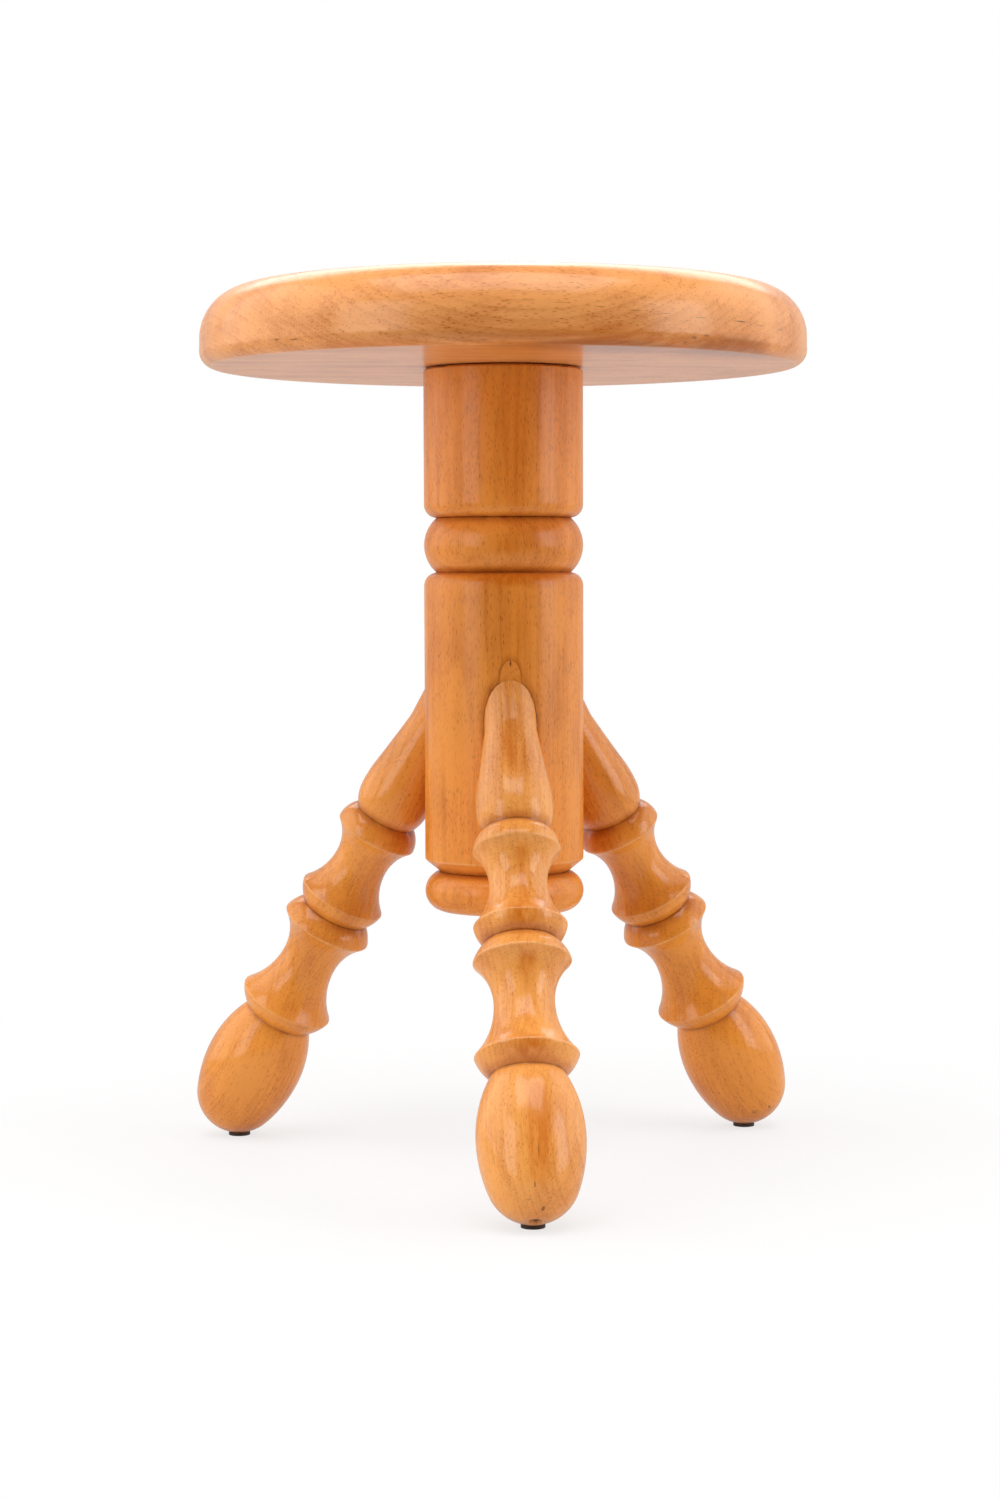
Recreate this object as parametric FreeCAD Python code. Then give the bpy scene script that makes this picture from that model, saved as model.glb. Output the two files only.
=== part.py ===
import FreeCAD, Part
import math
import os

# A turned wooden stool: a thick round seat, one fat column and three slanted turned legs.
# Millimetres, +Z up. The origin is on the floor, under the middle of the stool's outline.
# The front leg points towards -Y, and the other two stand 120 degrees to either side.

# Whole stool
stool_height = 450.0
seat_diameter = 310.0
seat_thickness = 40.0
column_diameter = 82.0
leg_lean_degrees = 30.7
leg_meeting_height = 294.0
fit_clearance = 0.2
cut_overrun = 1.0

# Seat: three boards glued edge to edge, then turned to a disc. Its lower edge is broken by a small
# round and its upper edge by a large one.
seat_lower_round_width = 5.7
seat_lower_round_height = 9.0
seat_upper_round = 26.0
front_glue_line = 18.0
rear_glue_line = 70.0
spigot_diameter = 44.0
spigot_hole_depth = 25.0
seat_joint_gap = 0.6

# Column, from its lower end up: a bead, a chamfered groove, a long barrel, a bead between two grooves
# with rounded shoulders, and a shorter barrel up to the seat. The beads are as wide as the barrels.
column_bottom_height = 130.5
column_bottom_inset = 10.0
foot_bead_height = 20.7
foot_groove_depth = 7.6
foot_chamfer_height = 6.2
waist_bead_above_meeting = 25.3
waist_bead_height = 28.1
waist_groove_depth = 6.4
waist_shoulder_height = 7.0

# Leg, from the floor end up its own axis. The foot is an egg with a round end, widest at its belly.
foot_end_round = 22.8
foot_belly_height = 41.3
foot_diameter = 52.3
foot_neck_above_belly = 30.9
foot_neck_diameter = 36.2
foot_flat_depth = 0.8
centre_hole_diameter = 7.0
centre_hole_depth = 6.0

# Ankle bead: a flank that swells from the neck out to a sharp edge
ankle_flank_height = 4.7
ankle_flank_diameter = 45.2
ankle_bead_width = 10.1
ankle_edge_diameter = 50.8

# Hollow between the ankle bead and the calf bead, with its waist a little above the middle
lower_hollow_length = 48.5
lower_waist_above_ankle = 27.2
lower_hollow_diameter = 29.6

# Calf bead, from its sharp edge up to the groove
calf_edge_diameter = 48.4
calf_flank_height = 5.1
calf_flank_diameter = 43.6
calf_bead_width = 9.6
middle_groove_diameter = 36.0

# Knee bead, from the groove up to its sharp edge
knee_flank_height = 4.4
knee_flank_diameter = 42.6
knee_bead_width = 9.6
knee_edge_diameter = 46.2

# Hollow between the knee bead and the thigh bead, with its waist a little above the middle
upper_hollow_length = 40.0
upper_waist_above_knee = 22.1
upper_hollow_diameter = 28.6

# Thigh bead, from its sharp edge up to the groove
thigh_edge_diameter = 43.6
thigh_flank_height = 5.9
thigh_flank_diameter = 40.6
thigh_bead_width = 10.8
bulb_groove_diameter = 32.4

# Bulb and the hollow taper above it, which ends in the tenon
bulb_crown = 11.4
bulb_diameter = 38.6
bulb_length = 27.8
bulb_end_diameter = 35.1
taper_middle_diameter = 30.6
tenon_diameter = 26.4
tenon_end_from_axis = 38.5
mortise_mouth_clearance = 1.0

# Filler let into the column above the front mortise
filler_diameter = 10.8
filler_rise = 4.9
filler_depth = 8.0

# Glides and their nails
glide_diameter = 11.6
glide_thickness = 2.0
nail_head_diameter = 5.2
nail_head_thickness = 0.8
nail_head_sunk = 0.2
nail_shank_diameter = 1.8
nail_point_length = 3.0
nail_top_height = 16.0
nail_clearance = 0.1

# Sizes that follow
lean = math.radians(leg_lean_degrees)
seat_radius = seat_diameter / 2
column_radius = column_diameter / 2
tenon_radius = tenon_diameter / 2
mortise_radius = tenon_radius + fit_clearance
seat_underside = stool_height - seat_thickness
column_top = seat_underside - seat_joint_gap
spigot_top = seat_underside + spigot_hole_depth

# The foot's round end rests on the glide, so its centre stands straight above the glide's
foot_radius = foot_diameter / 2
end_centre_height = glide_thickness - foot_flat_depth + foot_end_round
end_centre_to_meeting = (leg_meeting_height - end_centre_height) / math.cos(lean)
glide_reach = end_centre_to_meeting * math.sin(lean)
leg_axis_length = end_centre_to_meeting + foot_end_round

# The column stands behind the middle of the outline by half of what the front foot reaches past the seat
column_y = (glide_reach + foot_end_round - seat_radius) / 2

# Heights on the column. The waist bead keeps its place above the mortises.
foot_groove = column_bottom_height + foot_bead_height
waist_bead_middle_height = leg_meeting_height + waist_bead_above_meeting
lower_waist_groove = waist_bead_middle_height - waist_bead_height / 2
upper_waist_groove = waist_bead_middle_height + waist_bead_height / 2

# Heights along the leg's own axis, from the foot's lower end. The taper ends where the axis enters the column.
neck = foot_belly_height + foot_neck_above_belly
ankle_edge = neck + ankle_bead_width
calf_edge = ankle_edge + lower_hollow_length
middle_groove = calf_edge + calf_bead_width
knee_edge = middle_groove + knee_bead_width
thigh_edge = knee_edge + upper_hollow_length
bulb_groove = thigh_edge + thigh_bead_width
bulb_end = bulb_groove + bulb_length
taper_end = leg_axis_length - column_radius / math.sin(lean)
tenon_end = leg_axis_length - tenon_end_from_axis

origin = FreeCAD.Vector(0, 0, 0)
up = FreeCAD.Vector(0, 0, 1)
leg_turns = {"front": 0, "right": 120, "left": 240}


def outline_point(point):
    """A (radius, height) point of a lathe outline, as a vector in the XZ plane."""
    radius, height = point
    return FreeCAD.Vector(radius, 0, height)


def line_to(start, end):
    """A straight cut between two points of an outline."""
    return Part.LineSegment(outline_point(start), outline_point(end)).toShape()


def arc_to(start, middle, end):
    """A round cut through a middle point of an outline."""
    return Part.Arc(outline_point(start), outline_point(middle), outline_point(end)).toShape()


def spun(edges):
    """Close an outline's edges along the Z axis and spin them into a turned solid."""
    wire_ends = [edges[-1].Vertexes[-1].Point, edges[0].Vertexes[0].Point]
    axis_edge = Part.LineSegment(*wire_ends).toShape()
    return Part.Face(Part.Wire(edges + [axis_edge])).revolve(origin, up, 360)


def rod(radius, bottom, top):
    """A round bar on the Z axis between two heights."""
    return Part.makeCylinder(radius, top - bottom, FreeCAD.Vector(0, 0, bottom))


def under_front_foot(shape):
    """Carry an upright shape from the Z axis to the glide's place under the front foot."""
    return shape.translated(FreeCAD.Vector(0, -glide_reach, 0))


def along_front_leg(shape):
    """Carry a shape made on a leg's own axis, its foot's lower end at the origin, to the front leg's place."""
    leaning = shape.rotated(origin, FreeCAD.Vector(1, 0, 0), -leg_lean_degrees)
    end_reach = leg_axis_length * math.sin(lean)
    end_height = leg_meeting_height - leg_axis_length * math.cos(lean)
    return leaning.translated(FreeCAD.Vector(0, -end_reach, end_height))


def seat_boards():
    """The seat disc with the spigot's blind hole, parted at its two glue lines."""
    bend = math.sin(math.radians(45))
    rim = (seat_radius - seat_lower_round_width, seat_underside)
    lower_bend = (
        seat_radius - seat_lower_round_width * (1 - bend),
        seat_underside + seat_lower_round_height * (1 - bend),
    )
    widest = (seat_radius, seat_underside + seat_lower_round_height)
    round_start = (seat_radius, stool_height - seat_upper_round)
    upper_bend = (seat_radius - seat_upper_round * (1 - bend), stool_height - seat_upper_round * (1 - bend))
    round_end = (seat_radius - seat_upper_round, stool_height)
    disc = spun([
        line_to((0, seat_underside), rim),
        arc_to(rim, lower_bend, widest),
        line_to(widest, round_start),
        arc_to(round_start, upper_bend, round_end),
        line_to(round_end, (0, stool_height)),
    ])
    spigot_hole = rod(spigot_diameter / 2 + fit_clearance, seat_underside - cut_overrun, spigot_top)
    disc = disc.cut(spigot_hole)
    board_edges = {
        "seat_board_front": (-seat_radius - cut_overrun, -front_glue_line),
        "seat_board_middle": (-front_glue_line, rear_glue_line),
        "seat_board_rear": (rear_glue_line, seat_radius + cut_overrun),
    }
    boards = {}
    for name, (near, far) in board_edges.items():
        corner = FreeCAD.Vector(-seat_diameter, near, seat_underside - cut_overrun)
        plank = Part.makeBox(seat_diameter * 2, far - near, seat_thickness + cut_overrun * 2, corner)
        boards[name] = disc.common(plank)
    return boards


def column_blank():
    """The column as it leaves the lathe, before the mortises are bored."""
    bend = math.sin(math.radians(45))
    groove_radius = column_radius - waist_groove_depth
    bend_radius = groove_radius + waist_groove_depth * bend
    bottom = (column_radius - column_bottom_inset, column_bottom_height)
    foot_crown = (column_radius, (column_bottom_height + foot_groove) / 2)
    foot_notch = (column_radius - foot_groove_depth, foot_groove)
    chamfer = (column_radius, foot_groove + foot_chamfer_height)
    lower_shoulder = (column_radius, lower_waist_groove - waist_shoulder_height)
    lower_bend = (bend_radius, lower_waist_groove - waist_shoulder_height * (1 - bend))
    lower_notch = (groove_radius, lower_waist_groove)
    waist_crown = (column_radius, waist_bead_middle_height)
    upper_notch = (groove_radius, upper_waist_groove)
    upper_bend = (bend_radius, upper_waist_groove + waist_shoulder_height * (1 - bend))
    upper_shoulder = (column_radius, upper_waist_groove + waist_shoulder_height)
    top_rim = (column_radius, column_top)
    spigot_foot = (spigot_diameter / 2, column_top)
    spigot_rim = (spigot_diameter / 2, spigot_top)
    return spun([
        line_to((0, column_bottom_height), bottom),
        arc_to(bottom, foot_crown, foot_notch),
        line_to(foot_notch, chamfer),
        line_to(chamfer, lower_shoulder),
        arc_to(lower_shoulder, lower_bend, lower_notch),
        arc_to(lower_notch, waist_crown, upper_notch),
        arc_to(upper_notch, upper_bend, upper_shoulder),
        line_to(upper_shoulder, top_rim),
        line_to(top_rim, spigot_foot),
        line_to(spigot_foot, spigot_rim),
        line_to(spigot_rim, (0, spigot_top)),
    ])


def on_foot_end(angle):
    """The point of the foot's round end at an angle below the horizontal, seen from the round's centre."""
    return (foot_end_round * math.cos(angle), foot_end_round * (1 - math.sin(angle)))


def round_middle(crest, end):
    """The middle point of a round cut that runs along the axis at its crest and bends away to its end."""
    drawn, along = end[0] - crest[0], end[1] - crest[1]
    round_size = (drawn ** 2 + along ** 2) / (2 * drawn)
    half_angle = math.asin(along / round_size) / 2
    return (crest[0] + round_size * (1 - math.cos(half_angle)), crest[1] + round_size * math.sin(half_angle))


def foot_outline():
    """The egg's outline: the lathe centre's hole, the round end, then two side arcs that meet at the belly."""
    hole_angle = math.acos(centre_hole_diameter / 2 / foot_end_round)
    hole_rim = on_foot_end(hole_angle)
    end_to_belly = foot_belly_height - foot_end_round
    rise = foot_radius - foot_end_round
    lower_side_round = (foot_radius ** 2 + end_to_belly ** 2 - foot_end_round ** 2) / (2 * rise)
    join_angle = math.asin(end_to_belly / (lower_side_round - foot_end_round))
    end_middle = on_foot_end((hole_angle + join_angle) / 2)
    join = on_foot_end(join_angle)
    belly = (foot_radius, foot_belly_height)
    at_neck = (foot_neck_diameter / 2, neck)
    return [
        line_to((0, centre_hole_depth), hole_rim),
        arc_to(hole_rim, end_middle, join),
        arc_to(join, round_middle(belly, join), belly),
        arc_to(belly, round_middle(belly, at_neck), at_neck),
    ]


def leg_blank():
    """A leg as it leaves the lathe, upright on its own axis."""
    at_neck = (foot_neck_diameter / 2, neck)
    ankle_flank = (ankle_flank_diameter / 2, neck + ankle_flank_height)
    at_ankle = (ankle_edge_diameter / 2, ankle_edge)
    lower_waist = (lower_hollow_diameter / 2, ankle_edge + lower_waist_above_ankle)
    at_calf = (calf_edge_diameter / 2, calf_edge)
    calf_flank = (calf_flank_diameter / 2, calf_edge + calf_flank_height)
    at_middle = (middle_groove_diameter / 2, middle_groove)
    knee_flank = (knee_flank_diameter / 2, middle_groove + knee_flank_height)
    at_knee = (knee_edge_diameter / 2, knee_edge)
    upper_waist = (upper_hollow_diameter / 2, knee_edge + upper_waist_above_knee)
    at_thigh = (thigh_edge_diameter / 2, thigh_edge)
    thigh_flank = (thigh_flank_diameter / 2, thigh_edge + thigh_flank_height)
    at_bulb_groove = (bulb_groove_diameter / 2, bulb_groove)
    bulb_widest = (bulb_diameter / 2, bulb_groove + bulb_crown)
    at_bulb_end = (bulb_end_diameter / 2, bulb_end)
    taper_middle = (taper_middle_diameter / 2, (bulb_end + taper_end) / 2)
    at_taper_end = (tenon_radius, taper_end)
    tenon_rim = (tenon_radius, tenon_end)
    return spun(foot_outline() + [
        arc_to(at_neck, ankle_flank, at_ankle),
        arc_to(at_ankle, round_middle(lower_waist, at_ankle), lower_waist),
        arc_to(lower_waist, round_middle(lower_waist, at_calf), at_calf),
        arc_to(at_calf, calf_flank, at_middle),
        arc_to(at_middle, knee_flank, at_knee),
        arc_to(at_knee, round_middle(upper_waist, at_knee), upper_waist),
        arc_to(upper_waist, round_middle(upper_waist, at_thigh), at_thigh),
        arc_to(at_thigh, thigh_flank, at_bulb_groove),
        arc_to(at_bulb_groove, round_middle(bulb_widest, at_bulb_groove), bulb_widest),
        arc_to(bulb_widest, round_middle(bulb_widest, at_bulb_end), at_bulb_end),
        arc_to(at_bulb_end, taper_middle, at_taper_end),
        line_to(at_taper_end, tenon_rim),
        line_to(tenon_rim, (0, tenon_end)),
    ])


def mortise_cutter():
    """A leg's mortise on the leg's own axis: the bore for the tenon and the flared mouth for bulb and taper."""
    mouth_radius = bulb_diameter / 2 + mortise_mouth_clearance
    mouth_bottom = bulb_groove + bulb_crown
    bore = rod(mortise_radius, bulb_groove, tenon_end)
    flare = Part.makeCone(mouth_radius, mortise_radius, taper_end - mouth_bottom)
    return bore.fuse(flare.translated(FreeCAD.Vector(0, 0, mouth_bottom)))


def filler_pin(radius):
    """The round pin above the front mortise that the filler is sawn from, on the leg's own axis."""
    filler_radius = filler_diameter / 2
    pin_offset = mortise_radius + filler_rise - filler_radius
    top_offset = mortise_radius + filler_rise
    face_from_meeting = (column_radius - top_offset * math.cos(lean)) / math.sin(lean)
    inner_end = leg_axis_length - face_from_meeting + filler_depth
    pin = rod(radius, bulb_groove, inner_end)
    pin.translate(FreeCAD.Vector(0, -pin_offset, 0))
    return pin


def glide_disc():
    """A round glide with a nail hole and a recess for the nail's head, upright on the Z axis."""
    disc = rod(glide_diameter / 2, 0, glide_thickness)
    recess_top = nail_head_sunk + nail_head_thickness
    recess = rod(nail_head_diameter / 2 + nail_clearance, -cut_overrun, recess_top)
    hole = rod(nail_shank_diameter / 2 + nail_clearance, -cut_overrun, glide_thickness + cut_overrun)
    return disc.cut(recess).cut(hole)


def glide_nail():
    """The nail that holds a glide, its head hidden in the glide's recess."""
    head_radius = nail_head_diameter / 2
    shank_radius = nail_shank_diameter / 2
    head_top = nail_head_sunk + nail_head_thickness
    shank_top = nail_top_height - nail_point_length
    return spun([
        line_to((0, nail_head_sunk), (head_radius, nail_head_sunk)),
        line_to((head_radius, nail_head_sunk), (head_radius, head_top)),
        line_to((head_radius, head_top), (shank_radius, head_top)),
        line_to((shank_radius, head_top), (shank_radius, shank_top)),
        line_to((shank_radius, shank_top), (0, nail_top_height)),
    ])


def front_leg():
    """The front leg in its place, with a small flat for the glide and a pilot hole for the nail."""
    ground_cut = rod(foot_radius, -foot_end_round, glide_thickness)
    pilot = rod(nail_shank_diameter / 2 + nail_clearance, -cut_overrun, nail_top_height + nail_clearance)
    return along_front_leg(leg_blank()).cut(under_front_foot(ground_cut)).cut(under_front_foot(pilot))


def main():
    """Make every piece round the column's axis, then move them all so that the origin is central."""
    pieces = seat_boards()
    column = column_blank()
    filler = column.common(along_front_leg(filler_pin(filler_diameter / 2)))
    column = column.cut(along_front_leg(filler_pin(filler_diameter / 2 + nail_clearance)))
    front_mortise = along_front_leg(mortise_cutter())
    repeated = {
        "leg_": front_leg(),
        "glide_": under_front_foot(glide_disc()),
        "glide_nail_": under_front_foot(glide_nail()),
    }
    for name, turn in leg_turns.items():
        mortise = front_mortise.rotated(origin, up, turn)
        column = column.cut(mortise)
        filler = filler.cut(mortise)
        for prefix, shape in repeated.items():
            pieces[prefix + name] = shape.rotated(origin, up, turn)
    pieces["column"] = column
    pieces["mortise_filler"] = filler
    os.makedirs("parts", exist_ok=True)
    for name, shape in pieces.items():
        shape.translate(FreeCAD.Vector(0, column_y, 0))
        shape.exportStep("parts/" + name + ".step")
        box = shape.BoundBox
        print(name, len(shape.Solids), round(shape.Volume / 1000, 2), "cm3",
              [round(v, 1) for v in (box.XMin, box.YMin, box.ZMin, box.XMax, box.YMax, box.ZMax)])


main()
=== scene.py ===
import math

import bmesh
import bpy
import numpy as np
from mathutils import Matrix, Vector


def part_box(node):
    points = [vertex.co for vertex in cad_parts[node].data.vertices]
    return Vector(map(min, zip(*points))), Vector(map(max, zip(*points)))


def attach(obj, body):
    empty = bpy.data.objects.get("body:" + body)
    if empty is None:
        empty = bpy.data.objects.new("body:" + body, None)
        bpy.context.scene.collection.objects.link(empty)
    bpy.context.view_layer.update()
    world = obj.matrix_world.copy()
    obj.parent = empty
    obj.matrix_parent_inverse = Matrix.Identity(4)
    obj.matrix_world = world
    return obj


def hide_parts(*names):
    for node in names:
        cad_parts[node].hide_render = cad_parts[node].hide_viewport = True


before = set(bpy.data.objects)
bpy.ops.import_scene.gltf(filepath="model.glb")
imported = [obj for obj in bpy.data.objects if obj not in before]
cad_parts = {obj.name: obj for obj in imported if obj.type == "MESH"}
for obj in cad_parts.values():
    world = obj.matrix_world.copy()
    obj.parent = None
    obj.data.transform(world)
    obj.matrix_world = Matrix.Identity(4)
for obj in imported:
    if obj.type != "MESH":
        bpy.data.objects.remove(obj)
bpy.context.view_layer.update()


# Column: one thick post of steamed beech, turned between centres. It has a bead at its lower end and
# another between two grooves at its waist. Three slanted mortises are bored into the barrel for the
# legs, and a spigot at its upper end is glued into the seat.
MM = 0.001
column_low, column_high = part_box("column")
axis_place = Vector(((column_low.x + column_high.x) / 2, (column_low.y + column_high.y) / 2, 0))
column_radius = (column_high.x - column_low.x) / 2 / MM
column_bottom = column_low.z / MM
spigot_top = column_high.z / MM
seat_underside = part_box("seat_board_front")[0].z / MM
seat_joint_gap = 0.6
spigot_radius = 22.0
column_bottom_inset = 10.0
foot_bead_height = 20.7
foot_groove_depth = 7.6
foot_chamfer_height = 6.2
waist_bead_middle = 319.3
waist_bead_height = 28.1
waist_groove_depth = 6.4
waist_shoulder_height = 7.0
leg_lean = math.radians(30.7)
leg_meeting_height = 294.0
glide_thickness = 2.0
foot_flat_depth = 0.8
foot_end_round = 22.8
tenon_radius = 13.2
tenon_end_from_axis = 38.5
fit_clearance = 0.2
mouth_radius = 20.3
bulb_widest = 212.2

end_centre_to_meeting = (leg_meeting_height - glide_thickness
                         + foot_flat_depth - foot_end_round) / math.cos(leg_lean)
leg_axis_length = end_centre_to_meeting + foot_end_round
taper_end = leg_axis_length - column_radius / math.sin(leg_lean)
tenon_end = leg_axis_length - tenon_end_from_axis
leg_turns = {"front": 0.0, "right": 120.0, "left": 240.0}

# An outline is made of points this close together. They are then thinned out, to one step apart at a
# corner and more for each millimetre away from it, and the sharp edges are worn to a small round.
fine_step = 0.15
corner_step = 0.3
step_growth = 0.3
widest_step = 1.4
worn_edge_round = 0.35


def straight(start, end):
    """Closely spaced points of a straight cut between two (radius, height) points."""
    count = max(2, math.ceil(math.dist(start, end) / fine_step) + 1)
    return np.linspace(start, end, count)


def rounded(start, middle, end):
    """Closely spaced points of a round cut through three (radius, height) points."""
    (ax, ay), (bx, by), (cx, cy) = start, middle, end
    twice_area = 2 * (ax * (by - cy) + bx * (cy - ay) + cx * (ay - by))
    a2, b2, c2 = ax * ax + ay * ay, bx * bx + by * by, cx * cx + cy * cy
    centre_x = (a2 * (by - cy) + b2 * (cy - ay) + c2 * (ay - by)) / twice_area
    centre_y = (a2 * (cx - bx) + b2 * (ax - cx) + c2 * (bx - ax)) / twice_area
    radius = math.dist((centre_x, centre_y), start)
    first = math.atan2(ay - centre_y, ax - centre_x)
    sweep_middle = (math.atan2(by - centre_y, bx - centre_x) - first) % math.tau
    sweep = (math.atan2(cy - centre_y, cx - centre_x) - first) % math.tau
    if sweep_middle > sweep:
        sweep -= math.tau
    count = max(3, math.ceil(abs(sweep) * radius / fine_step) + 1)
    angles = np.linspace(first, first + sweep, count)
    return np.stack([centre_x + radius * np.cos(angles), centre_y + radius * np.sin(angles)], 1)


def nearest(points, corners):
    """How far each (radius, height) point is from the nearest of the corners."""
    gaps = points[:, None, :] - np.array(corners)[None, :, :]
    return np.linalg.norm(gaps, axis=2).min(1)


def lathe_outline(cuts, edges, grooves):
    """Join cuts into one outline, wear its edges round and thin its points out away from corners."""
    points = np.vstack([cut[:-1] for cut in cuts] + [cuts[-1][-1:]])
    reach = int(3 * worn_edge_round / fine_step)
    weights = np.exp(-0.5 * (np.arange(-reach, reach + 1) * fine_step / worn_edge_round) ** 2)
    weights = weights / weights.sum()
    padded = np.pad(points, ((reach, reach), (0, 0)), mode="edge")
    smooth = np.stack([np.convolve(padded[:, i], weights, "valid") for i in (0, 1)], 1)
    softness = np.clip(2 - nearest(points, edges) / worn_edge_round / 2, 0, 1)[:, None]
    points = points * (1 - softness) + smooth * softness
    spacing = corner_step + step_growth * nearest(points, edges + grooves)
    spacing = np.clip(spacing, corner_step, widest_step)
    kept = [0]
    for i in range(1, len(points) - 1):
        if math.dist(points[i], points[kept[-1]]) >= spacing[i]:
            kept.append(i)
    return points[kept + [len(points) - 1]]


def fill(tree, node, sockets):
    """Fill a node's sockets with values or with other nodes' outputs."""
    for socket, value in sockets.items():
        if isinstance(value, bpy.types.NodeSocket):
            tree.links.new(value, node.inputs[socket])
        else:
            node.inputs[socket].default_value = value


def add(tree, kind, sockets=None, **fields):
    """Add a node to a tree, set its fields and fill its sockets."""
    node = tree.nodes.new(kind)
    for field, value in fields.items():
        setattr(node, field, value)
    fill(tree, node, sockets or {})
    return node


def new_group(name, kind, inputs, outputs):
    """A node group with its sockets, and the outputs of its input node."""
    tree = bpy.data.node_groups.new(name, kind)
    for in_out, sockets in (("INPUT", inputs), ("OUTPUT", outputs)):
        for socket, socket_kind in sockets.items():
            tree.interface.new_socket(socket, in_out=in_out, socket_type="NodeSocket" + socket_kind)
    return tree, add(tree, "NodeGroupInput").outputs


def blank_material(name):
    """A new material and its still empty node tree."""
    material = bpy.data.materials.new(name)
    material.use_nodes = True
    material.node_tree.nodes.clear()
    return material, material.node_tree


def put_in_scene(name, data):
    """A new object with the given data, linked to the scene."""
    thing = bpy.data.objects.new(name, data)
    bpy.context.scene.collection.objects.link(thing)
    return thing


def blend_colours(tree, share, first, second):
    """A mix of two colours by a share from 0 to 1."""
    node = add(tree, "ShaderNodeMix", {0: share}, data_type="RGBA")
    fill(tree, node, {6: first, 7: second})
    return node.outputs[2]


def figure(tree, operation, *values):
    """A Math node's result for one, two or three values."""
    return add(tree, "ShaderNodeMath", dict(enumerate(values)), operation=operation).outputs[0]


def whole_figure(tree, operation, first, second):
    """An Integer Math node's result for two values."""
    return add(tree, "FunctionNodeIntegerMath", {0: first, 1: second}, operation=operation).outputs[0]


def swayed(tree, base, noise, amount):
    """A base value that noise pushes up and down by at most half an amount."""
    return figure(tree, "MULTIPLY_ADD", figure(tree, "SUBTRACT", noise, 0.5), amount, base)


def fading(tree, value, start, end, most=1.0):
    """A share that falls smoothly from its most to nothing as a value goes from start to end."""
    return add(tree, "ShaderNodeMapRange", {
        "Value": value, "From Min": start, "From Max": end, "To Min": most, "To Max": 0.0,
    }, interpolation_type="SMOOTHSTEP").outputs[0]


def vector_figure(tree, operation, *values):
    """A Vector Math node's result, which is a number for a length and a vector otherwise."""
    node = add(tree, "ShaderNodeVectorMath", dict(enumerate(values)), operation=operation)
    return node.outputs["Value" if operation in ("LENGTH", "DOT_PRODUCT", "DISTANCE") else "Vector"]


# The wobble fades out from this radius to the axis, and points closer than the gap merge at the seam.
steady_radius = 10.0
seam_gap = 0.002


def lathe_tree():
    """Spin an outline in the XZ plane round the Z axis, with the small wobble of hand turning."""
    tree, given = new_group("lathe", "GeometryNodeTree", {
        "Outline": "Geometry", "Steps Round": "Int", "Wobble": "Float", "Wobble Size": "Float",
        "Seed": "Float", "Material": "Material"}, {"Turned": "Geometry"})
    outline, steps = given["Outline"], given["Steps Round"]
    rows = add(tree, "GeometryNodeAttributeDomainSize", {"Geometry": outline},
               component="MESH").outputs["Point Count"]
    columns = whole_figure(tree, "ADD", steps, 1)
    grid = add(tree, "GeometryNodeMeshGrid", {"Vertices X": rows, "Vertices Y": columns})
    index = add(tree, "GeometryNodeInputIndex").outputs[0]
    row = whole_figure(tree, "DIVIDE_FLOOR", index, columns)
    step = whole_figure(tree, "MODULO", index, columns)
    place = add(tree, "GeometryNodeInputPosition").outputs[0]
    point = add(tree, "GeometryNodeSampleIndex", {"Geometry": outline, "Value": place, "Index": row},
                data_type="FLOAT_VECTOR", domain="POINT").outputs[0]
    # The seam's two columns stand at the same angle, so that they merge.
    share = figure(tree, "DIVIDE", whole_figure(tree, "MODULO", step, steps), steps)
    angle = figure(tree, "MULTIPLY", share, math.tau)
    spun = add(tree, "ShaderNodeVectorRotate", {"Vector": point, "Angle": angle},
               rotation_type="Z_AXIS").outputs[0]
    noise = add(tree, "ShaderNodeTexNoise", {
        "Vector": vector_figure(tree, "DIVIDE", spun, given["Wobble Size"]), "W": given["Seed"],
        "Scale": 1.0, "Detail": 1.0}, noise_dimensions="4D").outputs[0]
    outward = vector_figure(tree, "MULTIPLY", spun, (1.0, 1.0, 0.0))
    radius = vector_figure(tree, "LENGTH", outward)
    fade = figure(tree, "MINIMUM", figure(tree, "DIVIDE", radius, steady_radius * MM), 1.0)
    swing = figure(tree, "MULTIPLY", figure(tree, "SUBTRACT", noise, 0.5),
                   figure(tree, "MULTIPLY", given["Wobble"], fade))
    direction = vector_figure(tree, "NORMALIZE", outward)
    push = add(tree, "ShaderNodeVectorMath", {0: direction, "Scale": swing}, operation="SCALE").outputs[0]
    moved = {"Geometry": grid.outputs["Mesh"], "Position": vector_figure(tree, "ADD", spun, push)}
    piece = add(tree, "GeometryNodeSetPosition", moved).outputs[0]
    for kind, sockets in {
        "GeometryNodeMergeByDistance": {"Distance": seam_gap * MM},
        "GeometryNodeSetShadeSmooth": {},
        "GeometryNodeRealizeInstances": {},
        "GeometryNodeSetMaterial": {"Material": given["Material"]},
    }.items():
        piece = add(tree, kind, {"Geometry": piece, **sockets}).outputs[0]
    add(tree, "NodeGroupOutput", {"Turned": piece})
    return tree


lathe = lathe_tree()


def plain_mesh(piece):
    """Turn what a piece's modifiers make of it into its own plain mesh."""
    graph = bpy.context.evaluated_depsgraph_get()
    mesh = bpy.data.meshes.new_from_object(piece.evaluated_get(graph))
    piece.modifiers.clear()
    piece.data = mesh


# Faces that meet at more than this angle show a sharp edge.
sharp_angle = math.radians(38)


def mend_normals(mesh):
    """Point a closed mesh's faces outwards and mark its sharp edges."""
    work = bmesh.new()
    work.from_mesh(mesh)
    bmesh.ops.recalc_face_normals(work, faces=work.faces)
    work.to_mesh(mesh)
    work.free()
    mesh.set_sharp_from_angle(angle=sharp_angle)


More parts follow.
